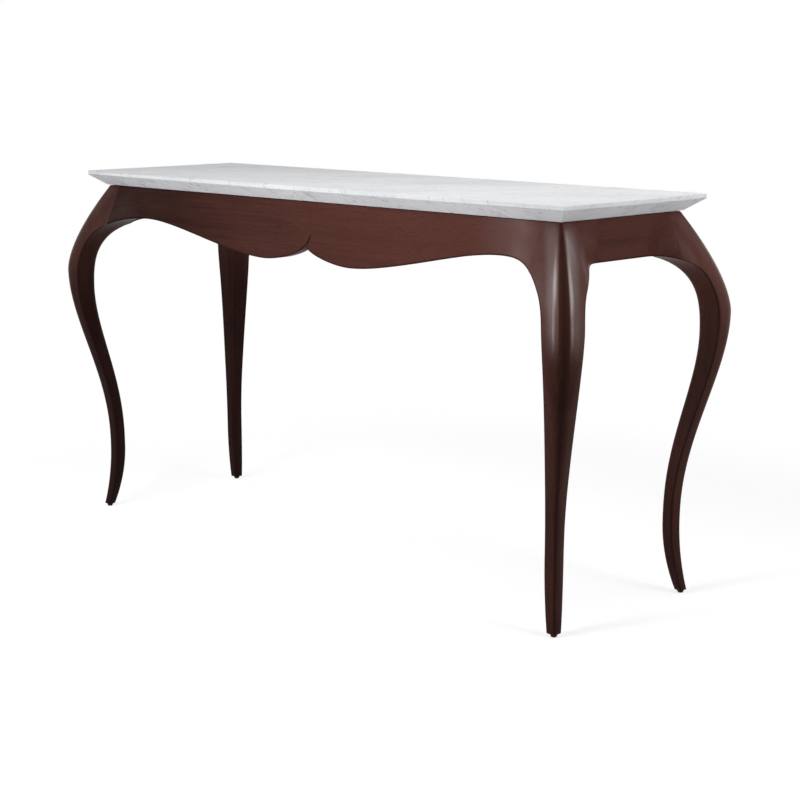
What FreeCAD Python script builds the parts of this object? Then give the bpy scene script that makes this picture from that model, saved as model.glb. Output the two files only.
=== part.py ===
"""Pier table: a marble slab on a mahogany frame with four cabriole legs.

Millimetres, +Z up, origin on the floor under the middle of the table. The front faces -Y.
Corner pieces are modelled in the corner at +X +Y and mirrored to the other corners.
"""
import FreeCAD, Part
import os

import Sketcher
from FreeCAD import Vector

ACROSS = Vector(1, 0, 0)
ALONG = Vector(0, 1, 0)

doc = FreeCAD.newDocument("pier_table")
sheet = doc.addObject("Spreadsheet::Sheet", "Sizes")

# Driving sizes in millimetres
SIZES = {
    # overall
    "table_length": 1500,
    "table_depth": 450,
    "table_height": 840,
    # marble slab
    "slab_thickness": 34,
    "slab_nose": 10,
    "slab_undercut": 32.5,
    "slab_top_round": 2.5,
    "slab_nose_round": 3,
    # soft pads between frame and slab
    "pad_thickness": 2,
    "pad_width": 14,
    "pad_distance": 160,
    # frame
    "frame_inset": 36,
    "rail_thickness": 25,
    "rail_height": 84.5,
    # front rail's bow, measured down from the frame's top, and its slit
    "bow_arch_drop": 73,
    "bow_lobe_drop": 133.5,
    "bow_cusp_drop": 95,
    "bow_lobe_distance": 276,
    "slit_run": 25,
    "slit_rise": 30,
    "slit_mouth": 9,
    # leg: drops from the frame's top, height above the floor, reach beyond the frame's faces, sides of
    # its square section, and how far the foot stands off the corner's diagonal
    "post_width": 43,
    "knee_drop": 205,
    "spring_drop": 245,
    "ankle_height": 155,
    "knee_reach": 86.4,
    "ankle_reach": 13.8,
    "toe_reach": 28.3,
    "knee_side": 58.1,
    "ankle_side": 28.5,
    "toe_side": 20.5,
    "foot_lean": 1.8,
    "post_round": 4,
    "knee_round": 34,
    "ankle_round": 6.5,
    "inner_knee_round": 18,
    "inner_ankle_round": 9,
    # knee blocks, measured along the rails
    "front_block_length": 109,
    "plain_block_length": 67,
    # loose tenons across the frame's joints
    "tenon_length": 40,
    "tenon_height": 44,
    "tenon_thickness": 8,
    # corner braces
    "brace_gap": 4,
    "brace_width": 41,
    "brace_height": 44,
    # cross bearers
    "bearer_width": 45,
    "bearer_height": 22,
    "bearer_housing": 12,
    # glides
    "glide_height": 7,
    "glide_diameter": 17,
    "glide_foot_diameter": 10.5,
    # fits
    "joint_clearance": 0.1,
    "cut_overrun": 5,
}
for row, (alias, value) in enumerate(SIZES.items(), start=1):
    sheet.set("A%d" % row, alias)
    sheet.set("B%d" % row, str(value))
    sheet.setAlias("B%d" % row, alias)
doc.recompute()


def size(alias):
    """One driving size, read from the sheet."""
    return float(sheet.get(alias))


# Places worked out from the driving sizes, as numbers
FRAME_TOP = size("table_height") - size("slab_thickness") - size("pad_thickness")
FRAME_X = size("table_length") / 2 - size("frame_inset")
FRAME_Y = size("table_depth") / 2 - size("frame_inset")
RAIL = size("rail_thickness")
POST = size("post_width")
FRONT_END = POST + size("front_block_length")
PLAIN_END = POST + size("plain_block_length")
KNEE_Z = FRAME_TOP - size("knee_drop")
SPRING_Z = FRAME_TOP - size("spring_drop")

# The same places as expressions on the sheet
FRAME_TOP_IS = "(Sizes.table_height - Sizes.slab_thickness - Sizes.pad_thickness)"
FRAME_X_IS = "(Sizes.table_length / 2 - Sizes.frame_inset)"
FRAME_Y_IS = "(Sizes.table_depth / 2 - Sizes.frame_inset)"
FRONT_END_IS = "(Sizes.post_width + Sizes.front_block_length)"
PLAIN_END_IS = "(Sizes.post_width + Sizes.plain_block_length)"

# Shares chosen by hand: how late the leg swings from ankle to knee, how full the knee stays towards
# the frame's top, how square the arch beside the knee is, where the leg's sections lie between the
# knee and the seam, the pull of the bow's curves, and where the bearers cross the front rail
OUTER_SWING_SHARE = 1.165
INNER_SWING_SHARE = 1.225
KNEE_FULLNESS_SHARE = 1.63
ARCH_SQUARENESS_SHARE = 2.74
ARCH_SECTION_SHARES = (0, 0.17, 0.36, 0.53, 0.68, 0.81, 0.91)
BOW_PULL_SHARES = (0.26, 0.29)
LOBE_PULL_SHARE = 0.34
CUSP_PULL_SHARES = (0.1, 0.55)
BEARER_PLACE_SHARES = (-0.75, 0, 0.75)

# How many sections the leg has below its knee and in its post, and how many facets a knee block's
# face has along the rail and up
LEG_SECTION_COUNT = 18
POST_SECTION_COUNT = 3
BLOCK_SECTION_COUNT = 8
BLOCK_LEVEL_COUNT = 6

# The four corners: their names and on which side of the table they lie
CORNERS = {
    "back_right": (1, 1),
    "back_left": (-1, 1),
    "front_right": (1, -1),
    "front_left": (-1, -1),
}

# The names of the cross bearers' places, from one end of the table to the other
BEARER_PLACES = ("left", "middle", "right")

NODES = []


def node(label, obj):
    """Names an object of the document as one piece of the table."""
    obj.Label = label
    NODES.append(obj)
    return obj


def bind(obj, **expressions):
    """Ties an object's properties to the sheet; a double underscore stands for a dot."""
    for prop, expression in expressions.items():
        obj.setExpression(prop.replace("__", "."), expression)
    return obj


def blend(low, high, share):
    """Value that share of the way from low to high."""
    return low + (high - low) * share


def stepped(low, high, steps):
    """Even steps from low to high."""
    return [blend(low, high, step / steps) for step in range(steps + 1)]


def ease(share):
    """Smooth step from 0 to 1, level at both ends."""
    return share * share * (3 - 2 * share)


# The leg's lines


def leg_line(z, top_z, top, ankle, toe, swing_share):
    """A line of the leg, level at its top and at the ankle, turning out to the toe."""
    if z >= size("ankle_height"):
        share = (z - size("ankle_height")) / (top_z - size("ankle_height"))
        return blend(ankle, top, ease(share ** swing_share))
    share = 1 - z / size("ankle_height")
    return blend(ankle, toe, share * share)


def above_knee(z):
    """Share of the way from the knee up to the frame's top."""
    return (z - KNEE_Z) / (FRAME_TOP - KNEE_Z)


def outer_reach(z):
    """How far the leg's outer faces stand beyond the frame's faces."""
    if z > KNEE_Z:
        return size("knee_reach") * (1 - above_knee(z) ** KNEE_FULLNESS_SHARE)
    return leg_line(z, KNEE_Z, size("knee_reach"), size("ankle_reach"), size("toe_reach"), OUTER_SWING_SHARE)


def inner_reach(z):
    """Where the leg's inner faces lie, up to the spring of the arch, against the frame's faces."""
    spring = size("knee_reach") - size("knee_side")
    ankle = size("ankle_reach") - size("ankle_side")
    toe = size("toe_reach") - size("toe_side")
    return leg_line(z, SPRING_Z, spring, ankle, toe, INNER_SWING_SHARE)


def outer_round(z):
    """Radius of the leg's outer arris, soft at the knee."""
    if z > KNEE_Z:
        return blend(size("knee_round"), size("post_round"), above_knee(z))
    ankle = size("ankle_round")
    return leg_line(z, KNEE_Z, size("knee_round"), ankle, ankle, OUTER_SWING_SHARE)


def inner_round(z):
    """Radius of the leg's inner arris."""
    if z > SPRING_Z:
        return size("inner_knee_round")
    ankle = size("inner_ankle_round")
    return leg_line(z, SPRING_Z, size("inner_knee_round"), ankle, ankle, INNER_SWING_SHARE)


def lean(z):
    """How far the leg stands off the corner's diagonal, from the foot to nothing at the knee."""
    return size("foot_lean") * max(1 - z / KNEE_Z, 0)


class Arch:
    """Curve from the leg's inner knee up to a rail's lower edge: a quarter of a squared-off ellipse."""

    def __init__(self, block_end, drop):
        self.block_end = block_end
        self.run = size("knee_reach") - size("knee_side") + block_end
        self.rise = size("spring_drop") - drop

    def height(self, s):
        """Height of the curve at distance s from the frame's corner."""
        across = (self.block_end - s) / self.run
        up = (1 - across ** ARCH_SQUARENESS_SHARE) ** (1 / ARCH_SQUARENESS_SHARE)
        return SPRING_Z + self.rise * up

    def inner(self, z):
        """Where the leg's inner face lies at height z: on its swing, on the curve, then on the post."""
        if z < SPRING_Z:
            return inner_reach(z)
        up = min((z - SPRING_Z) / self.rise, 1)
        across = (1 - up ** ARCH_SQUARENESS_SHARE) ** (1 / ARCH_SQUARENESS_SHARE)
        return max(across * self.run - self.block_end, -POST)

    def flare(self, p):
        """Share of the knee's flare at p beyond the frame's corner, and its slope there."""
        u = max(-p / self.block_end, 0)
        return 1 - ease(u), 6 * u * (1 - u) / self.block_end


FRONT_ARCH = Arch(FRONT_END, size("bow_arch_drop"))
PLAIN_ARCH = Arch(PLAIN_END, size("rail_height"))


# Edges


def corner(p, q, z):
    """Point p and q beyond the frame's corner, across and along the table."""
    return Vector(FRAME_X + p, FRAME_Y + q, z)


def leg_point(p, q, z):
    """Point of the leg, p and q beyond the frame's corner but for the leg's lean."""
    return corner(p - lean(z), q + lean(z), z)


def line(a, b):
    """Straight edge."""
    return Part.LineSegment(a, b).toShape()


def pulled_curve(*pulls):
    """Curve from the first point to the last, drawn out towards the points between them."""
    curve = Part.BSplineCurve()
    order = len(pulls)
    curve.buildFromPolesMultsKnots(list(pulls), [order, order], [0.0, 1.0], False, order - 1)
    return curve


def arris(start, centre, end):
    """Round edge from start to end about the centre."""
    away = (start - centre) + (end - centre)
    return Part.Arc(start, centre + away.normalize() * (start - centre).Length, end).toShape()


def form(name, shape):
    """Object of the document with a worked-out shape."""
    obj = doc.addObject("Part::Feature", name)
    obj.Shape = shape
    return obj


# Cabriole leg


def leg_face(z, arch, edge):
    """Line of an outer face in a level section: four pulls along the rail with their reaches beyond it."""
    reach = outer_reach(z)
    along = stepped(arch.inner(z), edge, 3)
    share, slope = arch.flare(along[0])
    turn = reach * (share + slope * (along[1] - along[0]))
    return list(zip(along, (reach * share, turn, reach, reach)))


def leg_section(z, long_arch, end_arch):
    """Level section: two flared outer faces, a soft outer arris, two inner faces and a soft inner arris."""
    edge = outer_reach(z) - outer_round(z)
    face = [leg_point(along, reach, z) for along, reach in leg_face(z, long_arch, edge)]
    side = [leg_point(reach, along, z) for along, reach in reversed(leg_face(z, end_arch, edge))]
    inner_x = long_arch.inner(z)
    inner_y = end_arch.inner(z)
    turn_x = inner_x + inner_round(z)
    turn_y = inner_y + inner_round(z)
    low = leg_point(turn_x, inner_y, z)
    high = leg_point(inner_x, turn_y, z)
    return [pulled_curve(*face).toShape(), arris(face[-1], leg_point(edge, edge, z), side[0]),
            pulled_curve(*side).toShape(), line(side[-1], low),
            arris(low, leg_point(turn_x, turn_y, z), high), line(high, face[0])]


def leg_form(name, long_arch, end_arch):
    """Cabriole leg from the toe to the frame's top, with its post square to the rails."""
    seams = sorted({long_arch.height(POST), end_arch.height(POST)})
    levels = stepped(size("glide_height"), SPRING_Z, LEG_SECTION_COUNT)
    levels += [blend(KNEE_Z, seams[0], share) for share in ARCH_SECTION_SHARES]
    levels += seams[:-1] + stepped(seams[-1], FRAME_TOP, POST_SECTION_COUNT)
    sections = [Part.Wire(leg_section(z, long_arch, end_arch)) for z in levels]
    return form(name, Part.makeLoft(sections, True, True))


# Knee blocks


def by_long_rail(s, depth, z):
    """Point at distance s from the frame's corner along a long rail, depth beyond its face."""
    return corner(-s, depth, z)


def by_end_rail(s, depth, z):
    """Point at distance s from the frame's corner along an end rail, depth beyond its face."""
    return corner(depth, -s, z)


def flat_face(points):
    """Flat face inside an outline of straight edges."""
    return Part.Face(Part.makePolygon(points + points[:1]))


def block_form(name, arch, place):
    """Block between leg post and rail: its face runs from the knee's flare to the rail's flat face."""
    stations = stepped(POST, arch.block_end, BLOCK_SECTION_COUNT)
    fronts = []
    for s in stations:
        levels = stepped(FRAME_TOP, arch.height(s), BLOCK_LEVEL_COUNT)
        fronts.append([place(s, outer_reach(z) * arch.flare(-s)[0], z) for z in levels])
    tops = [place(s, -RAIL, FRAME_TOP) for s in stations]
    lows = [place(s, -RAIL, arch.height(s)) for s in stations]
    outlines = [
        [tops[0], tops[-1], fronts[-1][0], fronts[0][0]],
        [tops[0], tops[-1]] + lows[::-1],
        [tops[0]] + fronts[0] + [lows[0]],
        [tops[-1]] + fronts[-1] + [lows[-1]],
    ]
    for k in range(BLOCK_SECTION_COUNT):
        here, there = fronts[k], fronts[k + 1]
        outlines.append([here[-1], there[-1], lows[k + 1], lows[k]])
        for level in range(BLOCK_LEVEL_COUNT):
            outlines.append([here[level], there[level], there[level + 1]])
            outlines.append([here[level], there[level + 1], here[level + 1]])
    shell = Part.makeShell([flat_face(outline) for outline in outlines])
    shell.sewShape()
    block = Part.makeSolid(shell)
    if block.Volume < 0:
        block.reverse()
    return form(name, block)


# Boards, boxes and joints


def box(name, middle, lengths):
    """Straight-sided piece, from expressions for its middle and for its lengths across, along and up."""
    obj = doc.addObject("Part::Box", name)
    starts = ["%s - (%s) / 2" % pair for pair in zip(middle, lengths)]
    return bind(obj, Length=lengths[0], Width=lengths[1], Height=lengths[2], Placement__Base__x=starts[0],
                Placement__Base__y=starts[1], Placement__Base__z=starts[2])


def in_corner(sides, x_in, y_in):
    """Expressions for a place in one corner, by its distances in from the frame's faces."""
    return ["%d * (%s - %s)" % (sides[0], FRAME_X_IS, x_in), "%d * (%s - %s)" % (sides[1], FRAME_Y_IS, y_in)]


def tenons(name, at_rail, slack):
    """Loose tenons at the posts or at the rails' ends, or with slack the mortises for them."""
    lengths = ["Sizes.tenon_%s + 2 * %s" % (part, slack) for part in ("length", "thickness", "height")]
    middle = "Sizes.rail_thickness / 2"
    boxes = []
    for place, sides in CORNERS.items():
        front = sides[1] < 0
        long_end = FRONT_END_IS if front else PLAIN_END_IS
        long_drop = "Sizes.bow_arch_drop" if front else "Sizes.rail_height"
        for rail, drop, s in (("long", long_drop, long_end), ("end", "Sizes.rail_height", PLAIN_END_IS)):
            s = s if at_rail else "Sizes.post_width"
            spot = in_corner(sides, s, middle) if rail == "long" else in_corner(sides, middle, s)
            turned = lengths if rail == "long" else [lengths[1], lengths[0], lengths[2]]
            spot.append("%s - %s / 2" % (FRAME_TOP_IS, drop))
            boxes.append(box("_".join((name, place, rail)), spot, turned))
    return boxes


def bearers(name, slack, overrun):
    """Cross bearers under the slab, or with slack and overrun the housings for their ends."""
    rail = "(%s - %s)" % (FRAME_X_IS, FRONT_END_IS)
    length = "2 * (%s - Sizes.rail_thickness + Sizes.bearer_housing + %s)" % (FRAME_Y_IS, slack)
    lengths = ["Sizes.bearer_width + 2 * %s" % slack, length, "Sizes.bearer_height + %s" % overrun]
    z = "%s - Sizes.bearer_height / 2 + %s / 2" % (FRAME_TOP_IS, overrun)
    return {place: box("_".join((name, place)), ["%s * %s" % (rail, share), "0", z], lengths)
            for place, share in zip(BEARER_PLACES, BEARER_PLACE_SHARES)}


def pads():
    """Pads on the posts and bearers, under the slab."""
    lengths = ["Sizes.pad_width", "Sizes.pad_width", "Sizes.pad_thickness"]
    z = FRAME_TOP_IS + " + Sizes.pad_thickness / 2"
    post = "Sizes.post_width / 2"
    boxes = [box("pad_" + place, in_corner(sides, post, post) + [z], lengths)
             for place, sides in CORNERS.items()]
    rail = "(%s - %s)" % (FRAME_X_IS, FRONT_END_IS)
    for place, share in zip(BEARER_PLACES, BEARER_PLACE_SHARES):
        for side in (-1, 1):
            spot = ["%s * %s" % (rail, share), "%d * Sizes.pad_distance / 2" % side, z]
            boxes.append(box("pad_%s_%d" % (place, side), spot, lengths))
    return boxes


def group(label, pieces):
    """Like pieces as one named piece of separate solids."""
    compound = doc.addObject("Part::Compound", label)
    compound.Links = pieces
    return node(label, compound)


def jointed(label, blank, cuts):
    """Piece with the mortises and housings that meet it."""
    doc.recompute()
    bounds = blank.Shape.BoundBox
    tool = doc.addObject("Part::Compound", label + "_cuts")
    tool.Links = [cut for cut in cuts if cut.Shape.BoundBox.intersect(bounds)]
    piece = doc.addObject("Part::Cut", label)
    piece.Base = blank
    piece.Tool = tool
    return node(label, piece)


def mirror(source, name, normal):
    """Mirror image of an object across the middle of the table."""
    obj = doc.addObject("Part::Mirroring", name)
    obj.Source = source
    obj.Normal = normal
    return obj


def in_all_corners(name, source):
    """The source in the corner at +X +Y and its three mirror images, by the names of their corners."""
    left = mirror(source, name + "_left", ACROSS)
    return {
        "back_right": source,
        "back_left": left,
        "front_right": mirror(source, name + "_front", ALONG),
        "front_left": mirror(left, name + "_front_left", ALONG),
    }


# Sketches


def sketch_on(body, name, role):
    """Empty sketch on one of the body's own origin planes."""
    sketch = body.newObject("Sketcher::SketchObject", name)
    plane = [item for item in body.Origin.OriginFeatures if item.Role == role][0]
    sketch.AttachmentSupport = [(plane, "")]
    sketch.MapMode = "FlatFace"
    return sketch


def draw_outline(sketch, curves):
    """Closed outline of curves, each joined to the next; returns their numbers."""
    numbers = [sketch.addGeometry(curve) for curve in curves]
    for first, second in zip(numbers, numbers[1:] + numbers[:1]):
        sketch.addConstraint(Sketcher.Constraint("Coincident", first, 2, second, 1))
    return numbers


def polygon(points):
    """Straight lines from point to point and back to the first."""
    return [Part.LineSegment(a, b) for a, b in zip(points, points[1:] + points[:1])]


def name_constraint(sketch, number, name, expression):
    """Names one of the sketch's dimensions and ties it to the sheet."""
    sketch.renameConstraint(number, name)
    sketch.setExpression("Constraints." + name, expression)


def level_edges(feature, z):
    """Names of a feature's edges that lie level at height z."""
    near = size("joint_clearance")
    return ["Edge%d" % number for number, edge in enumerate(feature.Shape.Edges, start=1)
            if abs(edge.BoundBox.ZMin - z) < near and abs(edge.BoundBox.ZMax - z) < near]


def marble_slab():
    """Slab, undercut along its lower edges, with an eased nose."""
    body = doc.addObject("PartDesign::Body", "marble_slab")
    sketch = sketch_on(body, "slab_outline", "XY_Plane")
    bind(sketch, AttachmentOffset__Base__z="Sizes.table_height - Sizes.slab_thickness")
    half = Vector(size("table_length") / 2, size("table_depth") / 2, 0)
    corners = [-half, Vector(half.x, -half.y, 0), half, Vector(-half.x, half.y, 0)]
    sides = draw_outline(sketch, polygon(corners))
    for number, kind in zip(sides, ("Horizontal", "Vertical") * 2):
        sketch.addConstraint(Sketcher.Constraint(kind, number))
    sketch.addConstraint(Sketcher.Constraint("Symmetric", sides[0], 1, sides[2], 1, -1, 1))
    for number, name, alias in ((sides[0], "Across", "table_length"), (sides[1], "Along", "table_depth")):
        dimension = sketch.addConstraint(Sketcher.Constraint("Distance", number, size(alias)))
        name_constraint(sketch, dimension, name, "Sizes." + alias)
    block = body.newObject("PartDesign::Pad", "slab_block")
    block.Profile = sketch
    bind(block, Length="Sizes.slab_thickness")
    doc.recompute()
    bevel = body.newObject("PartDesign::Chamfer", "slab_bevel")
    bevel.Base = (block, level_edges(block, size("table_height") - size("slab_thickness")))
    bevel.ChamferType = "Two distances"
    bind(bevel, Size="Sizes.slab_thickness - Sizes.slab_nose", Size2="Sizes.slab_undercut")
    doc.recompute()
    nose = body.newObject("PartDesign::Fillet", "slab_nose_line")
    nose.Base = (bevel, level_edges(bevel, size("table_height") - size("slab_nose")))
    bind(nose, Radius="Sizes.slab_nose_round")
    doc.recompute()
    top = body.newObject("PartDesign::Fillet", "slab_top_line")
    top.Base = (nose, level_edges(nose, size("table_height")))
    bind(top, Radius="Sizes.slab_top_round")
    return body


def bow_half():
    """The bow's curves from the rail's end at +X by the lobe to the cusp, as the points that draw them."""
    end = Vector(FRAME_X - FRONT_END, FRAME_TOP - size("bow_arch_drop"), 0)
    lobe = Vector(size("bow_lobe_distance") / 2, FRAME_TOP - size("bow_lobe_drop"), 0)
    cusp = Vector(0, FRAME_TOP - size("bow_cusp_drop"), 0)
    span = ACROSS * (end.x - lobe.x)
    turn = Vector(lobe.x * CUSP_PULL_SHARES[0], blend(cusp.y, lobe.y, CUSP_PULL_SHARES[1]), 0)
    return [
        (end, end - span * BOW_PULL_SHARES[0], lobe + span * BOW_PULL_SHARES[1], lobe),
        (lobe, lobe - ACROSS * (lobe.x * LOBE_PULL_SHARE), turn, cusp),
    ]


def front_rail_board():
    """Board with a cupid's bow along its lower edge and a slit that leans away from the bow's cusp."""
    body = doc.addObject("PartDesign::Body", "front_rail_board")
    sketch = sketch_on(body, "bow_outline", "XZ_Plane")
    bind(sketch, AttachmentOffset__Base__z=FRAME_Y_IS + " - Sizes.rail_thickness")
    right = bow_half()
    left = [[Vector(-point.x, point.y, 0) for point in reversed(curve)] for curve in reversed(right)]
    end = right[0][0]
    top = Vector(end.x, FRAME_TOP, 0)
    corners = [Vector(-end.x, end.y, 0), Vector(-top.x, top.y, 0), top, end]
    draw_outline(sketch, [pulled_curve(*curve) for curve in right + left] + polygon(corners)[:-1])
    board = body.newObject("PartDesign::Pad", "bow_board")
    board.Profile = sketch
    bind(board, Length="Sizes.rail_thickness")
    doc.recompute()
    slit = sketch_on(body, "slit_outline", "XZ_Plane")
    bind(slit, AttachmentOffset__Base__z=FRAME_Y_IS)
    cusp = right[1][-1]
    lean = Vector(size("slit_run"), size("slit_rise"), 0)
    below = Vector(lean).normalize() * size("cut_overrun")
    mouth = Vector(lean.y, -lean.x, 0).normalize() * size("slit_mouth")
    draw_outline(slit, polygon([cusp - below, cusp + lean, cusp + mouth - below]))
    cut = body.newObject("PartDesign::Pocket", "slit_cut")
    cut.Profile = slit
    bind(cut, Length="Sizes.rail_thickness")
    doc.recompute()
    if cut.Shape.Volume >= board.Shape.Volume:
        raise RuntimeError("the slit cuts nothing")
    return body


def back_rail_board():
    """Plain straight board between the back knee blocks."""
    lengths = ["2 * (%s - %s)" % (FRAME_X_IS, PLAIN_END_IS), "Sizes.rail_thickness", "Sizes.rail_height"]
    middle = ["0", FRAME_Y_IS + " - Sizes.rail_thickness / 2", FRAME_TOP_IS + " - Sizes.rail_height / 2"]
    return box("back_rail_board", middle, lengths)


def end_rail_board(name, side):
    """Straight board between the knee blocks at one end."""
    lengths = ["Sizes.rail_thickness", "2 * (%s - %s)" % (FRAME_Y_IS, PLAIN_END_IS), "Sizes.rail_height"]
    x = "%d * (%s - Sizes.rail_thickness / 2)" % (side, FRAME_X_IS)
    return box(name, [x, "0", FRAME_TOP_IS + " - Sizes.rail_height / 2"], lengths)


def corner_brace():
    """Brace glued across the inside of the corner at +X +Y, clear of the post."""
    body = doc.addObject("PartDesign::Body", "brace_block")
    sketch = sketch_on(body, "brace_outline", "XY_Plane")
    bind(sketch, AttachmentOffset__Base__z=FRAME_TOP_IS + " - Sizes.rail_height / 2 - Sizes.brace_height / 2")
    near = 2 * POST + size("brace_gap") - RAIL
    near_is = "(2 * Sizes.post_width + Sizes.brace_gap - Sizes.rail_thickness)"
    far = near + size("brace_width")
    far_is = "(%s + Sizes.brace_width)" % near_is
    rail_is = "Sizes.rail_thickness"
    corners = [(far, RAIL, far_is, rail_is), (near, RAIL, near_is, rail_is),
               (RAIL, near, rail_is, near_is), (RAIL, far, rail_is, far_is)]
    points = [Vector(FRAME_X - x, FRAME_Y - y, 0) for x, y, _, _ in corners]
    for number, point, (_, _, x_is, y_is) in zip(draw_outline(sketch, polygon(points)), points, corners):
        across = sketch.addConstraint(Sketcher.Constraint("DistanceX", -1, 1, number, 1, point.x))
        name_constraint(sketch, across, "Across%d" % number, "%s - %s" % (FRAME_X_IS, x_is))
        along = sketch.addConstraint(Sketcher.Constraint("DistanceY", -1, 1, number, 1, point.y))
        name_constraint(sketch, along, "Along%d" % number, "%s - %s" % (FRAME_Y_IS, y_is))
    block = body.newObject("PartDesign::Pad", "brace_board")
    block.Profile = sketch
    bind(block, Length="Sizes.brace_height")
    return body


def foot_glide():
    """Tapered glide under the foot at +X +Y."""
    glide = doc.addObject("Part::Cone", "glide_cone")
    bind(glide, Radius1="Sizes.glide_foot_diameter / 2", Radius2="Sizes.glide_diameter / 2",
         Height="Sizes.glide_height")
    middle = (outer_reach(size("glide_height")) + inner_reach(size("glide_height"))) / 2
    glide.Placement.Base = leg_point(middle, middle, 0)
    return glide


# Assembly

mortises = (tenons("post_mortise", False, "Sizes.joint_clearance")
            + tenons("rail_mortise", True, "Sizes.joint_clearance"))
housings = list(bearers("bearer_housing", "Sizes.joint_clearance", "Sizes.cut_overrun").values())

node("marble_top", marble_slab())

back_leg = leg_form("back_leg", PLAIN_ARCH, PLAIN_ARCH)
front_leg = mirror(leg_form("front_leg", FRONT_ARCH, PLAIN_ARCH), "front_leg_right", ALONG)
for place, leg in (("back", back_leg), ("front", front_leg)):
    jointed("leg_%s_right" % place, leg, mortises)
    jointed("leg_%s_left" % place, mirror(leg, place + "_leg_left", ACROSS), mortises)

back_block = block_form("back_block", PLAIN_ARCH, by_long_rail)
front_block = mirror(block_form("front_block", FRONT_ARCH, by_long_rail), "front_block_right", ALONG)
for place, block in (("back", back_block), ("front", front_block)):
    jointed("knee_block_%s_right" % place, block, mortises)
    jointed("knee_block_%s_left" % place, mirror(block, place + "_block_left", ACROSS), mortises)
end_block = block_form("end_block", PLAIN_ARCH, by_end_rail)
for place, block in in_all_corners("end_block", end_block).items():
    long_rail, end_rail = place.split("_")
    jointed("knee_block_%s_%s" % (end_rail, long_rail), block, mortises)

jointed("front_rail", front_rail_board(), mortises + housings)
jointed("back_rail", back_rail_board(), mortises + housings)
jointed("left_rail", end_rail_board("left_rail_board", -1), mortises)
jointed("right_rail", end_rail_board("right_rail_board", 1), mortises)

for place, bearer in bearers("bearer", "0", "0").items():
    node("cross_bearer_" + place, bearer)
for place, brace in in_all_corners("brace", corner_brace()).items():
    node("corner_brace_" + place, brace)
group("foot_glides", list(in_all_corners("glide", foot_glide()).values()))
group("post_tenons", tenons("post_tenon", False, "0"))
group("rail_tenons", tenons("rail_tenon", True, "0"))
group("slab_pads", pads())

doc.recompute()
for obj in doc.Objects:
    if "Invalid" in obj.State or "Error" in obj.State:
        raise RuntimeError("%s failed to build" % obj.Label)
for obj in NODES:
    if obj.Shape.isNull() or not obj.Shape.isValid() or not obj.Shape.Solids:
        raise RuntimeError("%s has no sound solid" % obj.Label)

os.makedirs("parts", exist_ok=True)
for obj in NODES:
    obj.Shape.exportStep("parts/%s.step" % obj.Label)
print(len(NODES), "pieces,", sum(len(obj.Shape.Solids) for obj in NODES), "solids")
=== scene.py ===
"""Pier table: smooth cabriole legs, knee blocks and rails in stained mahogany under a marble slab.

Metres, +Z up, origin on the floor under the middle of the table. The front faces -Y. The frame's sizes
below are in millimetres, as in the part's source.
"""
import itertools
import math

import bmesh
import bpy
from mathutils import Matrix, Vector


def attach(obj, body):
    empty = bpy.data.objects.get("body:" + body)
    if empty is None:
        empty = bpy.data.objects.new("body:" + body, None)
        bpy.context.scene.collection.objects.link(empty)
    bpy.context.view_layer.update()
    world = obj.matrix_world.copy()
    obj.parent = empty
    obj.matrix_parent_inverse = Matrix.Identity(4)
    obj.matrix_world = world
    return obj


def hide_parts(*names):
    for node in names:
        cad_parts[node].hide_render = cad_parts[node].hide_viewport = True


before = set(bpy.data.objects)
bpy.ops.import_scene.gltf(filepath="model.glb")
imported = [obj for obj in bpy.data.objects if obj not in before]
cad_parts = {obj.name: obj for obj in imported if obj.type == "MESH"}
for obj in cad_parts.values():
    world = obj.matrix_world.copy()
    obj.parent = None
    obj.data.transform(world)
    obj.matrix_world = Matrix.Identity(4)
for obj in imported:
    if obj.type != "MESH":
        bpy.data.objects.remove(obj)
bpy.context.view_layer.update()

MM = 0.001

# Frame
FRAME_TOP = 804
FRAME_X = 714
FRAME_Y = 189
RAIL = 25
RAIL_HEIGHT = 84.5
POST = 43
FRONT_END = 152
PLAIN_END = 110

# Bow along the front rail's lower edge, with its middle moved to the left, and its slit
BOW_ARCH_DROP = 73
BOW_LOBE_DROP = 133.5
BOW_CUSP_DROP = 95
BOW_LOBE_X = 138
BOW_PULLS = (0.26, 0.29)
LOBE_PULL = 0.34
CUSP_PULLS = (0.1, 0.55)
BOW_SHIFT = -6
SLIT = (25, 30)
SLIT_MOUTH = 9
SLIT_OVERRUN = 5

# Leg
KNEE_Z = 599
SPRING_Z = 559
ANKLE_Z = 155
FOOT_Z = 7
KNEE_REACH, ANKLE_REACH, TOE_REACH = 86.4, 13.8, 28.3
KNEE_SIDE, ANKLE_SIDE, TOE_SIDE = 58.1, 28.5, 20.5
FOOT_LEAN = 1.8
POST_ROUND, KNEE_ROUND, ANKLE_ROUND = 4, 34, 6.5
INNER_KNEE_ROUND, INNER_ANKLE_ROUND = 18, 9
OUTER_SWING, INNER_SWING = 1.165, 1.225
KNEE_FULLNESS = 1.63
ROUND_FULLNESS = 2.5
ARCH_SQUARENESS = 2.74

# Hand-worked crown of the leg's outer faces
CROWN = 0.09
CROWN_SHIFT = 0.7

# Painted shade along the middle of the leg's outer arris, a painted dark reflection, how fast it falls off,
# and painted shade on the inner faces
OUTER_ARRIS_SHADE = 0.85
ARRIS_SHADE_FALL = 1.5
INNER_FACE_SHADE = 0.35

# Softened arrises, their radius where a block covers the leg, and the band beside them that holds more stain
SOFT = 1.1
COVERED_SOFT = 0.01
STAIN_BAND = 3.5
SOFT_STEPS = 3

SHARP_ANGLE = math.radians(40)


def blend(low, high, share):
    """Value that share of the way from low to high."""
    return low + (high - low) * share


def steps(low, high, count):
    """Even steps from low to high."""
    return [blend(low, high, k / count) for k in range(count + 1)]


def ease(share):
    """Smooth step from 0 to 1, level at both ends."""
    return share * share * (3 - 2 * share)


# The leg's lines


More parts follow.
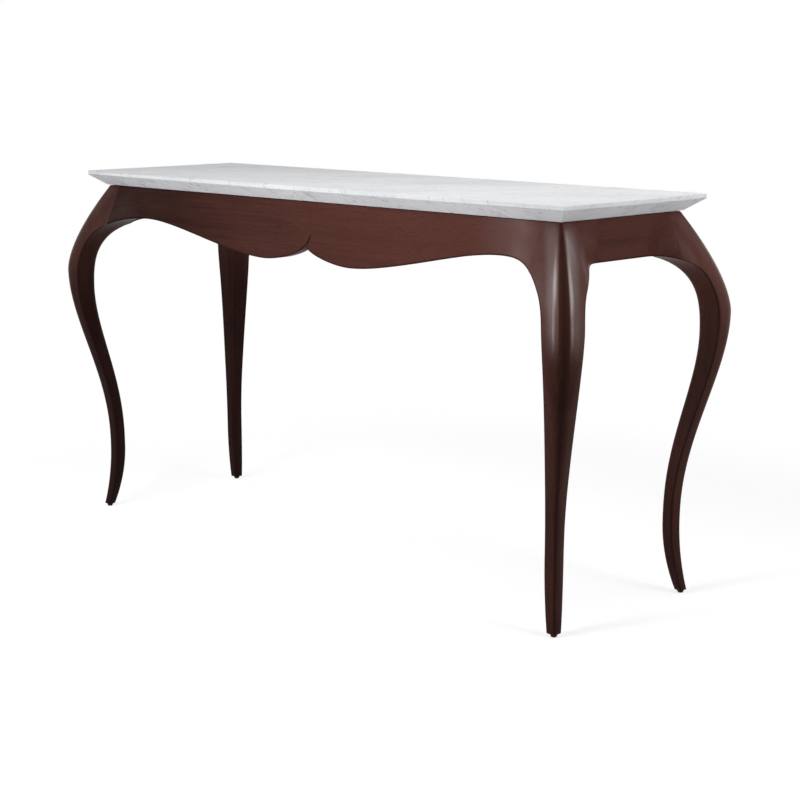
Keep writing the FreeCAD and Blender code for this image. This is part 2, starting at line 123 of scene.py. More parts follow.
def leg_line(z, top_z, top, ankle, toe, swing):
    """A line of the leg, level at its top and at the ankle, turning out to the toe."""
    if z >= ANKLE_Z:
        return blend(ankle, top, ease(((z - ANKLE_Z) / (top_z - ANKLE_Z)) ** swing))
    return blend(ankle, toe, (1 - z / ANKLE_Z) ** 2)


def above_knee(z):
    """Share of the way from the knee up to the frame's top."""
    return (z - KNEE_Z) / (FRAME_TOP - KNEE_Z)


def outer_reach(z):
    """How far the leg's outer faces stand beyond the frame's faces."""
    if z > KNEE_Z:
        return KNEE_REACH * (1 - above_knee(z) ** KNEE_FULLNESS)
    return leg_line(z, KNEE_Z, KNEE_REACH, ANKLE_REACH, TOE_REACH, OUTER_SWING)


def inner_reach(z):
    """Where the leg's inner faces lie, up to the spring of the arch."""
    return leg_line(z, SPRING_Z, KNEE_REACH - KNEE_SIDE, ANKLE_REACH - ANKLE_SIDE, TOE_REACH - TOE_SIDE,
                    INNER_SWING)


def outer_round(z):
    """Radius of the leg's outer arris."""
    if z > KNEE_Z:
        return blend(KNEE_ROUND, POST_ROUND, above_knee(z) ** ROUND_FULLNESS)
    return leg_line(z, KNEE_Z, KNEE_ROUND, ANKLE_ROUND, ANKLE_ROUND, OUTER_SWING)


def inner_round(z):
    """Radius of the leg's inner arris."""
    if z > SPRING_Z:
        return INNER_KNEE_ROUND
    return leg_line(z, SPRING_Z, INNER_KNEE_ROUND, INNER_ANKLE_ROUND, INNER_ANKLE_ROUND, INNER_SWING)


class Arch:
    """Curve from the leg's inner knee up to a rail's lower edge: a quarter of a squared-off ellipse."""

    def __init__(self, block_end, drop):
        self.block_end = block_end
        self.run = KNEE_REACH - KNEE_SIDE + block_end
        self.rise = FRAME_TOP - drop - SPRING_Z

    def height(self, s):
        """Height of the curve at distance s from the frame's corner."""
        across = (self.block_end - s) / self.run
        return SPRING_Z + self.rise * (1 - across ** ARCH_SQUARENESS) ** (1 / ARCH_SQUARENESS)

    def inner(self, z):
        """Where the leg's inner face lies at height z: on its swing, on the curve, then on the post."""
        if z < SPRING_Z:
            return inner_reach(z)
        up = min((z - SPRING_Z) / self.rise, 1)
        across = (1 - up ** ARCH_SQUARENESS) ** (1 / ARCH_SQUARENESS)
        return max(across * self.run - self.block_end, -POST)

    def flare(self, p):
        """Share of the knee's swell at p beyond the frame's corner."""
        return 1 - ease(min(max(-p / self.block_end, 0), 1))


FRONT_ARCH = Arch(FRONT_END, BOW_ARCH_DROP)
PLAIN_ARCH = Arch(PLAIN_END, RAIL_HEIGHT)


# Skins


def skin(name, rings):
    """Piece with a skin over closed rings of points, each a place in millimetres and a share of glaze and
    painted shade.
    """
    count = len(rings[0])
    places = [place * MM for ring in rings for place, _ in ring]
    faces = [list(range(count)), list(range((len(rings) - 1) * count, len(rings) * count))]
    for k in range(len(rings) - 1):
        for i in range(count):
            j = (i + 1) % count
            faces.append([k * count + i, k * count + j, (k + 1) * count + j, (k + 1) * count + i])
    mesh = bpy.data.meshes.new(name)
    mesh.from_pydata(places, [], faces)
    glaze_and_shade = mesh.attributes.new("glaze_and_shade", "FLOAT", "POINT")
    glaze_and_shade.data.foreach_set("value", [share for ring in rings for _, share in ring])
    tidy_mesh(mesh)
    piece = bpy.data.objects.new(name, mesh)
    bpy.context.scene.collection.objects.link(piece)
    return piece


def tidy_mesh(mesh):
    """Outward faces, smooth but for sharp edges."""
    shell = bmesh.new()
    shell.from_mesh(mesh)
    bmesh.ops.recalc_face_normals(shell, faces=shell.faces)
    shell.to_mesh(mesh)
    shell.free()
    mesh.shade_smooth()
    mesh.set_sharp_from_angle(angle=SHARP_ANGLE)


def arc(centre, radius, start, end, count):
    """Points on an arc, by angles in degrees."""
    turns = [math.radians(angle) for angle in steps(start, end, count)]
    return [(centre[0] + radius * math.cos(turn), centre[1] + radius * math.sin(turn)) for turn in turns]


# Cabriole legs

FACE_STEPS = 14
OUTER_STEPS = 12
INNER_STEPS = 8
LEG_LEVELS = 110
ARCH_LEVELS = 44
POST_LEVELS = 24

# Share of painted shade at each step across the outer arris
OUTER_SHADE_SHARES = [OUTER_ARRIS_SHADE * ease(max(1 - ARRIS_SHADE_FALL * abs(2 * k / OUTER_STEPS - 1), 0))
                for k in range(OUTER_STEPS + 1)]


def crown(z, seam):
    """How far a leg's outer face falls away to its inner side, as a share of its width: none at the seam."""
    return CROWN * (1 - ease(min(max((z - KNEE_Z) / (seam - KNEE_Z), 0), 1)))


def leg_ring(z, long_arch, end_arch, seam):
    """Level section of the leg at +X +Y: places beyond the frame's corner, each with its share of glaze and
    painted shade.
    """
    reach, outer, inner = outer_reach(z), outer_round(z), inner_round(z)
    edge = reach - outer
    fall = crown(z, seam)

    def inner_side(arch):
        """Where an inner face lies, moved in by what the crown takes away."""
        return arch.inner(z) - CROWN_SHIFT * fall * (edge - arch.inner(z))

    def outer_face(along, arch):
        """How far an outer face stands out."""
        width = edge - inner_side(arch)
        return reach * arch.flare(along) - fall * width * ((edge - along) / width) ** 2

    inner_p, inner_q = inner_side(long_arch), inner_side(end_arch)
    soft_at = SOFT if z < seam else COVERED_SOFT
    band = soft_at + STAIN_BAND
    mark = 1.0 if z < seam else 0.0
    face = [inner_p + soft_at] + steps(inner_p + band, edge, FACE_STEPS)[:-1]
    side = [inner_q + soft_at] + steps(inner_q + band, edge, FACE_STEPS)[:-1]
    face_low = outer_face(inner_p, long_arch)
    side_low = outer_face(inner_q, end_arch)
    ring = [(p, outer_face(p, long_arch), mark if p == face[0] else 0.0) for p in face]
    outer_arris = arc((edge, edge), outer, 90, 0, OUTER_STEPS)
    ring += [(p, q, share) for (p, q), share in zip(outer_arris, OUTER_SHADE_SHARES)]
    ring += [(outer_face(q, end_arch), q, mark if q == side[0] else 0.0) for q in reversed(side)]
    side_arris = arc((side_low - soft_at, inner_q + soft_at), soft_at, 0, -90, SOFT_STEPS)
    ring += [(p, q, mark) for p, q in side_arris[1:]]
    ring.append((side_low - band, inner_q, INNER_FACE_SHADE))
    turn = (inner_p + inner, inner_q + inner)
    ring += [(p, q, INNER_FACE_SHADE) for p, q in arc(turn, inner, 270, 180, INNER_STEPS)]
    ring.append((inner_p, face_low - band, INNER_FACE_SHADE))
    face_arris = arc((inner_p + soft_at, face_low - soft_at), soft_at, 180, 90, SOFT_STEPS)
    ring += [(p, q, mark) for p, q in face_arris[:-1]]
    return ring


def make_leg(name, sides, long_arch):
    """Cabriole leg in one corner, from the toe to the frame's top."""
    seam = min(long_arch.height(POST), PLAIN_ARCH.height(POST))
    high_seam = max(long_arch.height(POST), PLAIN_ARCH.height(POST))
    levels = steps(FOOT_Z, SPRING_Z, LEG_LEVELS)[:-1]
    levels += [blend(SPRING_Z, high_seam, math.sin(math.pi / 2 * share))
               for share in steps(0, 1, ARCH_LEVELS)]
    levels += steps(high_seam, FRAME_TOP, POST_LEVELS)[1:]
    rings = []
    for z in levels:
        lean = FOOT_LEAN * max(1 - z / KNEE_Z, 0)
        ring = leg_ring(z, long_arch, PLAIN_ARCH, seam)
        rings.append([(Vector((sides[0] * (FRAME_X + p - lean), sides[1] * (FRAME_Y + q + lean), z)), share)
                      for p, q, share in ring])
    return skin(name, rings)


# Knee blocks and rails

BLOCK_STATIONS = 40
FACE_LEVELS = 22
SOFFIT_STEPS = 3
BOW_STATIONS = (56, 30)
STRAIGHT_STATIONS = 8


def board_ring(low, face):
    """Section of a board: from its back's top edge by its face and soffit to its back's lower edge."""
    front = face(low)
    ring = [(-RAIL, FRAME_TOP, 0.0)]
    ring += [(face(z), z, 0.0) for z in steps(FRAME_TOP, low + SOFT + STAIN_BAND, FACE_LEVELS)]
    ring.append((face(low + SOFT), low + SOFT, 1.0))
    ring += [(depth, z, 1.0) for depth, z in arc((front - SOFT, low + SOFT), SOFT, 0, -90, SOFT_STEPS)[1:]]
    ring += [(depth, low, 0.0) for depth in steps(front - SOFT - STAIN_BAND, -RAIL, SOFFIT_STEPS)]
    return ring


def make_board(name, sections, place):
    """Board through sections, each a distance along it and a ring, set down by a placing rule."""
    return skin(name, [[(place(s, depth, z), share) for depth, z, share in ring] for s, ring in sections])


def by_long_rail(sides):
    """Placing rule along a long rail: s in from the frame's corner, depth beyond the rail's face."""
    return lambda s, depth, z: Vector((sides[0] * (FRAME_X - s), sides[1] * (FRAME_Y + depth), z))


def by_end_rail(sides):
    """Placing rule along an end rail: s in from the frame's corner, depth beyond the rail's face."""
    return lambda s, depth, z: Vector((sides[0] * (FRAME_X + depth), sides[1] * (FRAME_Y - s), z))


def make_block(name, arch, place):
    """Knee block: its face runs from the knee's swell to the rail's flat face."""
    sections = []
    for s in steps(POST, arch.block_end, BLOCK_STATIONS):
        flare = arch.flare(-s)
        sections.append((s, board_ring(arch.height(s), lambda z, flare=flare: outer_reach(z) * flare)))
    return make_board(name, sections, place)


def flat(z):
    """Flat face of a rail."""
    return 0.0


def pulled(points, share):
    """Point of a curve from the first point to the last, drawn out towards the two between them."""
    a, b, c, d = points
    rest = 1 - share
    return a * rest ** 3 + b * (3 * rest ** 2 * share) + c * (3 * rest * share ** 2) + d * share ** 3


def bow_edge():
    """Lower edge of the front rail as points across and up, from its left end to its right end."""
    end = Vector((FRAME_X - FRONT_END, FRAME_TOP - BOW_ARCH_DROP))
    lobe = Vector((BOW_LOBE_X, FRAME_TOP - BOW_LOBE_DROP))
    cusp = Vector((0, FRAME_TOP - BOW_CUSP_DROP))
    span = Vector((end.x - lobe.x, 0))
    turn = Vector((lobe.x * CUSP_PULLS[0], blend(cusp.y, lobe.y, CUSP_PULLS[1])))
    arm = (end, end - span * BOW_PULLS[0], lobe + span * BOW_PULLS[1], lobe)
    hook = (lobe, lobe - Vector((lobe.x * LOBE_PULL, 0)), turn, cusp)
    half = [pulled(arm, share) for share in steps(0, 1, BOW_STATIONS[0])]
    half += [pulled(hook, share) for share in steps(0, 1, BOW_STATIONS[1])[1:]]
    both = [Vector((-point.x, point.y)) for point in half] + [Vector(point) for point in reversed(half[:-1])]
    return [point + Vector((BOW_SHIFT * (1 - (point.x / end.x) ** 2), 0)) for point in both]


def make_front_rail(name):
    """Front rail with a cupid's bow along its lower edge and a slit that leans away from the bow's cusp."""
    sections = [(FRAME_X - point.x, board_ring(point.y, flat)) for point in bow_edge()]
    rail = make_board(name, sections, by_long_rail((1, -1)))
    cusp = Vector((BOW_SHIFT, FRAME_TOP - BOW_CUSP_DROP))
    lean = Vector(SLIT)
    below = lean.normalized() * SLIT_OVERRUN
    mouth = Vector((lean.y, -lean.x)).normalized() * SLIT_MOUTH
    wedge = [cusp - below, cusp + lean, cusp + mouth - below]
    rings = [[(Vector((point.x, -FRAME_Y + depth, point.y)), 0.0) for point in wedge]
             for depth in (-SLIT_OVERRUN, RAIL + SLIT_OVERRUN)]
    cutter = skin(name + "_slit", rings)
    cut = rail.modifiers.new("slit", "BOOLEAN")
    cut.operation = "DIFFERENCE"
    cut.solver = "EXACT"
    cut.object = cutter
    seen = rail.evaluated_get(bpy.context.evaluated_depsgraph_get())
    carved = bpy.data.meshes.new_from_object(seen)
    rail.modifiers.clear()
    rail.data = carved
    bpy.data.objects.remove(cutter)
    carved.set_sharp_from_angle(angle=SHARP_ANGLE)
    return rail


def straight_rail(name, place, length):
    """Plain rail of one length with a straight lower edge."""
    low = FRAME_TOP - RAIL_HEIGHT
    stations = steps(PLAIN_END, length - PLAIN_END, STRAIGHT_STATIONS)
    return make_board(name, [(s, board_ring(low, flat)) for s in stations], place)


# Finishes


class Wire:
    """A socket whose sums, differences and products become Math nodes."""

    def __init__(self, finish, socket):
        self.finish = finish
        self.socket = socket

    def maths(self, operation, first, second):
        """One Math node on two values."""
        return self.finish.node("ShaderNodeMath", {"operation": operation}, {0: first, 1: second})

    def __add__(self, other):
        return self.maths("ADD", self, other)

    def __sub__(self, other):
        return self.maths("SUBTRACT", self, other)

    def __rsub__(self, other):
        return self.maths("SUBTRACT", other, self)

    def __mul__(self, other):
        return self.maths("MULTIPLY", self, other)

    def __abs__(self):
        return self.finish.node("ShaderNodeMath", {"operation": "ABSOLUTE"}, {0: self})

    __radd__ = __add__
    __rmul__ = __mul__


class Finish:
    """A material, or the world, and its nodes."""

    def __init__(self, name, shelf=bpy.data.materials):
        self.owner = shelf.new(name)
        self.owner.use_nodes = True
        self.tree = self.owner.node_tree
        self.tree.nodes.clear()

    def node(self, kind, settings, inputs, output=0):
        """One node: its settings first, then its sockets' values or links. Returns one of its outputs."""
        made = self.tree.nodes.new(kind)
        for name, value in settings.items():
            setattr(made, name, value)
        for socket, value in inputs.items():
            if isinstance(value, Wire):
                self.tree.links.new(value.socket, made.inputs[socket])
            else:
                made.inputs[socket].default_value = value
        return Wire(self, made.outputs[output]) if made.outputs else None

    def place(self):
        """Place on the table, in metres."""
        return self.node("ShaderNodeTexCoord", {}, {}, output=3)

    def seen(self):
        """1 where the eye meets the surface, also in a reflection or through glass, and 0 for stray light."""
        direct, mirrored, through = [self.node("ShaderNodeLightPath", {}, {}, output="Is %s Ray" % kind)
                                     for kind in ("Camera", "Glossy", "Transmission")]
        return direct.maths("MAXIMUM", direct, mirrored.maths("MAXIMUM", mirrored, through))

    def vector(self, operation, first, second):
        """One Vector Math node."""
        return self.node("ShaderNodeVectorMath", {"operation": operation}, {0: first, 1: second})

    def dot(self, first, second):
        """How far a vector reaches along another."""
        return self.node("ShaderNodeVectorMath", {"operation": "DOT_PRODUCT"}, {0: first, 1: second},
                         output=1)

    def noise(self, place, scale, detail, roughness, distortion=0.0):
        """Cloudy value from 0 to 1."""
        return self.node("ShaderNodeTexNoise", {}, {"Vector": place, "Scale": scale, "Detail": detail,
                                                   "Roughness": roughness, "Distortion": distortion})

    def rise(self, value, low, high):
        """Smooth rise from 0 at low to 1 at high."""
        return self.node("ShaderNodeMapRange", {"interpolation_type": "SMOOTHSTEP"},
                         {0: value, 1: low, 2: high})

    def mix(self, share, first, second):
        """Colour between two colours."""
        return self.node("ShaderNodeMix", {"data_type": "RGBA"}, {0: share, 6: first, 7: second}, output=2)

    def bump(self, height, strength, distance):
        """Normal from a height."""
        return self.node("ShaderNodeBump", {}, {"Strength": strength, "Distance": distance, "Height": height})

    def close(self, **inputs):
        """Ends the material in a Principled shader; underscores stand for spaces."""
        named = {name.replace("_", " "): value for name, value in inputs.items()}
        shader = self.node("ShaderNodeBsdfPrincipled", {}, named)
        self.node("ShaderNodeOutputMaterial", {}, {"Surface": shader})
        return self.owner


def rgb(red, green, blue):
    """Linear colour of a socket."""
    return (red, green, blue, 1.0)


def grey(level):
    """Linear grey of a socket."""
    return rgb(level, level, level)


# Stain: deep and pale parts of the figure, pores, and the glaze along softened arrises that also carries
# painted shade on the legs' outer arris and inner faces, and how strong the last two are
STAIN_DEEP = rgb(0.018, 0.0045, 0.0030)
STAIN_PALE = rgb(0.104, 0.0355, 0.0265)
STAIN_PORE = rgb(0.010, 0.0035, 0.0026)
GLAZE_AND_SHADE_COLOUR = rgb(0.008, 0.0030, 0.0024)
PORE_SHARE = 0.55
GLAZE_AND_SHADE_SHARE = 0.75

# Painted light and shade: how the stain is painted paler towards the table's lit right end and darker towards
# its left, a little also by depth and height, and how deep the stain is, for grain along X, Y and Z
PAINTED_LIGHT_DRIFTS = ((0.58, -0.10, 0.10), (0.20, -0.10, 0.10), (0.15, 0.10, 0.10))
STAIN_DEPTHS = (0.20, 0.29, 0.18)
TONE_SPAN = (0.10, 0.90)

# Painted light: heights in metres over which the wood is painted paler towards the knees, and by how much
KNEE_LIGHT_HEIGHTS = (0.48, 0.66)
KNEE_PAINTED_LIGHT = 0.25

# Noises of the stained wood and the inner wood: scale, detail, roughness and distortion
WOOD_FIGURE = (34.0, 4.0, 0.6, 0.4)
WOOD_STREAK = (210.0, 3.0, 0.6)
WOOD_FIBRE = (1100.0, 2.0, 0.6)
WOOD_CLOUD = (6.0, 2.0, 0.5)
WOOD_PORES = (1700.0, 1.0, 0.5)
PORE_SPAN = (0.60, 0.70)
INNER_FIGURE = (40.0, 4.0, 0.6, 0.5)
INNER_FIBRE = (600.0, 2.0, 0.6)
ALONG_GRAIN = 0.035

# How far apart in the wood two pieces are cut
CUT_STEP = (0.37, 0.61, 0.23)

# Hand-rubbed polish, in metres: where the knees are, and the corner that is rubbed most
KNEE_ACROSS = (0.46, 0.70)
KNEE_ALONG = (0.13, 0.21)
KNEE_UP = (0.54, 0.62)
RUBBED_CORNER = (0.2, 1.0)
LEAST_RUBBED = 0.15

# The polish beside the arris: its start, the duller hollow next to it, and the glaze and painted shade that
# stop it
POLISH_START = (0.003, 0.016)
HOLLOW_START = (0.028, 0.052)
HOLLOW_END = (0.07, 0.12)
HOLLOW_DULLNESS = 0.75
GLAZE_AND_SHADE_EDGE = (0.2, 0.35)
PLAIN_COAT = 0.03

INNER_DARK = rgb(0.19, 0.105, 0.055)
INNER_PALE = rgb(0.34, 0.215, 0.125)


def along_grain(wood, spot, axis):
    """Place drawn out along the grain."""
    squeeze = [1.0, 1.0, 1.0]
    squeeze[axis] = ALONG_GRAIN
    return wood.vector("MULTIPLY", spot, squeeze)


def stained_wood(name, axis, number):
    """Mahogany with its grain along one axis, stained dark under a satin lacquer."""
    wood = Finish(name)
    table_spot = wood.place()
    spot = wood.vector("ADD", table_spot, [step * number for step in CUT_STEP])
    grain = along_grain(wood, spot, axis)
    figure = wood.noise(grain, *WOOD_FIGURE)
    streak = wood.noise(grain, *WOOD_STREAK)
    fibre = wood.noise(grain, *WOOD_FIBRE)
    cloud = wood.noise(spot, *WOOD_CLOUD)
    pores = wood.rise(wood.noise(grain, *WOOD_PORES), *PORE_SPAN)
    glaze_and_shade = wood.node("ShaderNodeAttribute", {"attribute_name": "glaze_and_shade"}, {}, output=2)
    across, along, up = [wood.dot(table_spot, way) for way in ((1, 0, 0), (0, 1, 0), (0, 0, 1))]
    # Painted light and shade: paler towards the table's right end and towards the knees
    painted_light = wood.dot(table_spot, PAINTED_LIGHT_DRIFTS[axis]) + wood.rise(up, *KNEE_LIGHT_HEIGHTS) * KNEE_PAINTED_LIGHT
    low, high = [edge + STAIN_DEPTHS[axis] for edge in TONE_SPAN]
    tone = wood.rise(figure * 0.45 + streak * 0.25 + cloud * 0.2 + painted_light, low, high)
    colour = wood.mix(tone, STAIN_DEEP, STAIN_PALE)
    colour = wood.mix(pores * PORE_SHARE, colour, STAIN_PORE)
    # Painted shade: the legs' outer arris and inner faces are painted darker, along with the glaze on
    # softened edges
    colour = wood.mix(glaze_and_shade * GLAZE_AND_SHADE_SHARE, colour, GLAZE_AND_SHADE_COLOUR)
    roughness = 0.36 + streak * 0.10 + pores * 0.12
    normal = wood.bump(fibre * 0.35 - pores, 0.10, 0.0006)
    corner = wood.rise(abs(across), *KNEE_ACROSS) * wood.rise(abs(along), *KNEE_ALONG)
    knees = corner * wood.rise(up, *KNEE_UP)
    handled = LEAST_RUBBED + wood.rise(across - along * 2.0, *RUBBED_CORNER) * (1.0 - LEAST_RUBBED)
    beside = abs(abs(across) - abs(along) - (FRAME_X - FRAME_Y) * MM)
    hollow = wood.rise(beside, *HOLLOW_START) - wood.rise(beside, *HOLLOW_END)
    bare = 1.0 - wood.rise(glaze_and_shade, *GLAZE_AND_SHADE_EDGE)
    rubbed = wood.rise(beside, *POLISH_START) * (1.0 - hollow * HOLLOW_DULLNESS) * bare
    return wood.close(Base_Color=colour, Roughness=roughness, Normal=normal, Specular_IOR_Level=0.03,
                      Coat_Weight=PLAIN_COAT + knees * handled * rubbed, Coat_Roughness=0.27)


def inner_wood(name, axis):
    """Bare secondary wood inside the frame."""
    wood = Finish(name)
    grain = along_grain(wood, wood.place(), axis)
    figure = wood.noise(grain, *INNER_FIGURE)
    fibre = wood.noise(grain, *INNER_FIBRE)
    tone = wood.rise(figure * 0.7 + fibre * 0.3, 0.3, 0.7)
    colour = wood.mix(tone, INNER_DARK, INNER_PALE)
    return wood.close(Base_Color=colour, Roughness=0.6 + fibre * 0.2, Normal=wood.bump(fibre, 0.25, 0.0008))


# Marble: the sheets of its veins lie square to this direction
VEIN_ACROSS = Vector((1.0, -1.0, 1.0)).normalized()
VEIN_ALONG = Vector((1.0, 1.0, 0.0)).normalized()
VEIN_DOWN = VEIN_ACROSS.cross(VEIN_ALONG)
MARBLE_WHITE = rgb(0.86, 0.865, 0.87)
MARBLE_CLOUD = rgb(0.74, 0.75, 0.765)
MARBLE_VEIN = rgb(0.36, 0.37, 0.385)

# How fine the marble's markings are across those sheets and along them
CLOUD_SHEET = (9.0, 2.5)
STREAK_SHEET = (110.0, 22.0)
VEIN_SHEET = (260.0, 60.0)

# Painted light: heights in metres over which the bevel's stronger markings give way to the top, whose veins
# are painted fainter as if washed out by light
LIT_TOP_HEIGHTS = (0.825, 0.832)


def marble():
    """White marble with soft clouds and fine short grey veins."""
    stone = Finish("white_marble")
    spot = stone.place()
    wander = stone.noise(spot, 9.0, 3.0, 0.6) - 0.5
    across = stone.dot(spot, VEIN_ACROSS) + wander * 0.03
    along = stone.dot(spot, VEIN_ALONG)
    down = stone.dot(spot, VEIN_DOWN)

    def sheet(fine, coarse):
        """Place in the veins' sheets, scaled across them and along them."""
        return stone.node("ShaderNodeCombineXYZ", {}, {0: across * fine, 1: along * coarse, 2: down * coarse})

    cloud = stone.rise(stone.noise(sheet(*CLOUD_SHEET), 1.0, 4.0, 0.6), 0.40, 0.70)
    streak = stone.rise(stone.noise(sheet(*STREAK_SHEET), 1.0, 3.0, 0.6), 0.54, 0.70)
    patch = stone.rise(stone.noise(spot, 18.0, 2.0, 0.5), 0.38, 0.58)
    vein = stone.rise(stone.noise(sheet(*VEIN_SHEET), 1.0, 2.0, 0.5), 0.58, 0.70)
    # Painted light: the veins are painted fainter on the brightly lit top than on the bevel
    lit_top = stone.rise(stone.dot(spot, (0, 0, 1)), *LIT_TOP_HEIGHTS)
    colour = stone.mix(cloud * 0.6, MARBLE_WHITE, MARBLE_CLOUD)
    colour = stone.mix(streak * patch * (0.45 - lit_top * 0.15), colour, MARBLE_VEIN)
    colour = stone.mix(vein * patch * (0.85 - lit_top * 0.5), colour, MARBLE_VEIN)
    grain = stone.noise(spot, 900.0, 2.0, 0.5)
    return stone.close(Base_Color=colour, Roughness=0.46 + cloud * 0.08 + grain * 0.06,
                       Normal=stone.bump(grain, 0.04, 0.0004), Specular_IOR_Level=0.06)


GLIDE_DARK = rgb(0.014, 0.011, 0.010)
GLIDE_PALE = rgb(0.028, 0.023, 0.021)
PAD_DARK = grey(0.03)
PAD_PALE = grey(0.06)


def glide_plastic():
    """Dark moulded plastic of the glides."""
    plastic = Finish("glide_plastic")
    grain = plastic.noise(plastic.place(), 1500.0, 2.0, 0.5)
    colour = plastic.mix(grain, GLIDE_DARK, GLIDE_PALE)
    return plastic.close(Base_Color=colour, Roughness=0.45 + grain * 0.2,
                         Normal=plastic.bump(grain, 0.15, 0.0004), Specular_IOR_Level=0.1)


def pad_rubber():
    """Soft dark rubber of the pads under the slab."""
    rubber = Finish("pad_rubber")
    grain = rubber.noise(rubber.place(), 1200.0, 3.0, 0.6)
    colour = rubber.mix(grain, PAD_DARK, PAD_PALE)
    return rubber.close(Base_Color=colour, Roughness=0.75 + grain * 0.15,
                        Normal=rubber.bump(grain, 0.2, 0.0004))


# Pieces


CORNERS = {"front_left": (-1, -1), "front_right": (1, -1), "back_left": (-1, 1), "back_right": (1, 1)}
cuts = itertools.count(1)


def finish_piece(piece, node, axis):
    """Stains a wooden piece with its own cut of wood and sets it in place of its node."""
    piece.data.materials.clear()
    piece.data.materials.append(stained_wood(piece.name + "_stain", axis, next(cuts)))
    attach(piece, "root")
    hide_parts(node)


for corner, sides in CORNERS.items():
    end, side = corner.split("_")
    long_arch = FRONT_ARCH if end == "front" else PLAIN_ARCH
    finish_piece(make_leg("cabriole_leg_" + corner, sides, long_arch), "leg_" + corner, 2)
    finish_piece(make_block("flared_block_" + corner, long_arch, by_long_rail(sides)),
                 "knee_block_" + corner, 0)
    end_block = "%s_%s" % (side, end)
    finish_piece(make_block("flared_block_" + end_block, PLAIN_ARCH, by_end_rail(sides)),
                 "knee_block_" + end_block, 1)

finish_piece(make_front_rail("bowed_front_rail"), "front_rail", 0)
finish_piece(straight_rail("straight_back_rail", by_long_rail((1, 1)), 2 * FRAME_X), "back_rail", 0)
finish_piece(straight_rail("straight_left_rail", by_end_rail((-1, 1)), 2 * FRAME_Y), "left_rail", 1)
finish_piece(straight_rail("straight_right_rail", by_end_rail((1, 1)), 2 * FRAME_Y), "right_rail", 1)


# Broken edges of the inner wood and the glides, and the distance at which points count as one, in metres
WOOD_EDGE = 0.0012
GLIDE_EDGE = 0.0006
WELD_DISTANCE = 0.00001


def dress(node, material, soft):
    """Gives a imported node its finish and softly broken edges."""
    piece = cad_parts[node]
    for slot in piece.material_slots:
        slot.material = material
    weld = piece.modifiers.new("weld", "WELD")
    weld.merge_threshold = WELD_DISTANCE
    if soft:
        edges = piece.modifiers.new("broken_edges", "BEVEL")
        edges.width = soft
        edges.segments = 2
        edges.limit_method = "ANGLE"


dress("marble_top", marble(), 0)
bearer_wood = inner_wood("bearer_wood", 1)
brace_wood = inner_wood("brace_wood", 0)
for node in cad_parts:
    if node.startswith("cross_bearer"):
        dress(node, bearer_wood, WOOD_EDGE)
    elif node.startswith("corner_brace"):
        dress(node, brace_wood, WOOD_EDGE)
    elif node.endswith("_tenons"):
        dress(node, brace_wood, 0)
dress("foot_glides", glide_plastic(), GLIDE_EDGE)
dress("slab_pads", pad_rubber(), 0)


# Stage, light and camera


WHITE = grey(1.0)

# Floor: half its width in metres, its colour for stray light, and how it shows to the eye near the table
FLOOR_HALF = 14.0
FLOOR_PLAIN = grey(0.92)
FLOOR_SHADED = grey(0.45)

# The floor's own glow to the left and right of the table, and the distances over which it turns white
LEFT_GLOW = grey(0.80)
RIGHT_GLOW = grey(0.71)
GLOW_SPAN = (-0.9, 0.9)
WHITE_SPAN = (1.0, 1.7)


def make_floor():
    """Pale floor that shows white in the open and keeps the table's shadow."""
    mesh = bpy.data.meshes.new("floor")
    corners = [(x * FLOOR_HALF, y * FLOOR_HALF, 0) for x, y in ((-1, -1), (1, -1), (1, 1), (-1, 1))]
    mesh.from_pydata(corners, [], [(0, 1, 2, 3)])
    floor = bpy.data.objects.new("floor", mesh)
    bpy.context.scene.collection.objects.link(floor)
    paper = Finish("studio_paper")
    spot = paper.place()
    away = paper.node("ShaderNodeVectorMath", {"operation": "LENGTH"}, {0: spot}, output=1)
    plain = paper.node("ShaderNodeBsdfDiffuse", {}, {"Color": FLOOR_PLAIN})
    shaded = paper.node("ShaderNodeBsdfDiffuse", {}, {"Color": FLOOR_SHADED})
    lit_side = paper.rise(paper.dot(spot, (1, 0, 0)), *GLOW_SPAN)
    level = paper.mix(lit_side, LEFT_GLOW, RIGHT_GLOW)
    glow = paper.node("ShaderNodeEmission", {}, {"Color": level, "Strength": 1.0})
    white = paper.node("ShaderNodeEmission", {}, {"Color": WHITE, "Strength": 1.0})
    near = paper.node("ShaderNodeAddShader", {}, {0: shaded, 1: glow})
    in_the_open = paper.rise(away, *WHITE_SPAN)
    open_floor = paper.node("ShaderNodeMixShader", {}, {0: in_the_open, 1: near, 2: white})
    surface = paper.node("ShaderNodeMixShader", {}, {0: paper.seen(), 1: plain, 2: open_floor})
    paper.node("ShaderNodeOutputMaterial", {}, {"Surface": surface})
    mesh.materials.append(paper.owner)


AMBIENT = 0.06
AMBIENT_COLOUR = rgb(0.98, 0.99, 1.0)


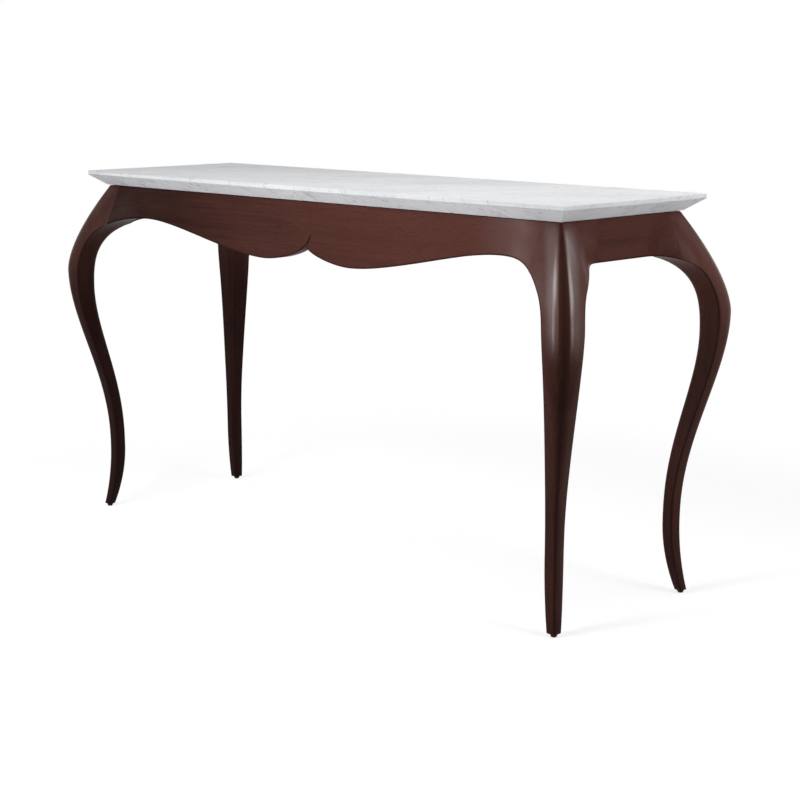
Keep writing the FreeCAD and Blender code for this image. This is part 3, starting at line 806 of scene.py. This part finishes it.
def make_world(ambient):
    """Even dim surroundings, white where the eye looks past the floor, also in a reflection."""
    studio = Finish("studio", bpy.data.worlds)
    bpy.context.scene.world = studio.owner
    dim = studio.node("ShaderNodeBackground", {}, {"Color": AMBIENT_COLOUR, "Strength": ambient})
    white = studio.node("ShaderNodeBackground", {}, {"Color": WHITE, "Strength": 1.0})
    surface = studio.node("ShaderNodeMixShader", {}, {0: studio.seen(), 1: dim, 2: white})
    studio.node("ShaderNodeOutputWorld", {}, {"Surface": surface})


LIGHT_AIM = Vector((0.1, 0.0, 0.55))
LIGHT_COLOUR = (0.97, 0.98, 1.0)

# Studio lights: name, place in metres, width, height and power in watts
SOFTBOXES = (
    ("front_box", (-0.15, -2.1, 2.3), 1.0, 0.7, 22.0),
    ("left_box", (-1.3, -1.7, 1.6), 1.0, 0.7, 5.0),
    ("tall_left_box", (-1.4, -2.75, 1.0), 0.5, 1.9, 5.0),
    ("tall_front_box", (0.15, -1.65, 0.85), 0.22, 1.4, 8.0),
    ("right_box", (2.2, 0.4, 1.8), 0.7, 0.8, 12.0),
    ("tall_right_box", (2.65, 0.2, 0.95), 0.2, 1.6, 7.5),
    ("back_right_box", (1.8, 1.3, 2.2), 0.9, 0.6, 5.0),
    ("left_end_box", (-2.4, 0.3, 1.2), 1.0, 0.8, 4.0),
    ("back_box", (0.3, 2.5, 1.2), 1.0, 0.8, 5.0),
    ("top_box", (0.6, -0.1, 2.4), 1.2, 0.7, 11.0),
)


def softbox(name, spot, width, height, power):
    """Rectangular studio light that faces the table."""
    data = bpy.data.lights.new(name, "AREA")
    data.shape = "RECTANGLE"
    data.size = width
    data.size_y = height
    data.energy = power
    data.color = LIGHT_COLOUR
    lamp = bpy.data.objects.new(name, data)
    lamp.location = spot
    lamp.rotation_euler = (LIGHT_AIM - Vector(spot)).to_track_quat("-Z", "Y").to_euler()
    lamp.visible_camera = False
    bpy.context.scene.collection.objects.link(lamp)


make_floor()
make_world(AMBIENT)
for box in SOFTBOXES:
    softbox(*box)

camera_data = bpy.data.cameras.new("camera")
camera_data.sensor_width = 36.0
camera_data.lens = 79.25
camera = bpy.data.objects.new("camera", camera_data)
camera.location = (2.837153, -2.743998, 1.107707)
camera.rotation_euler = (math.radians(79.02), 0.0, math.radians(44.949))
bpy.context.scene.collection.objects.link(camera)
bpy.context.scene.camera = camera
bpy.context.scene.view_settings.view_transform = "Standard"
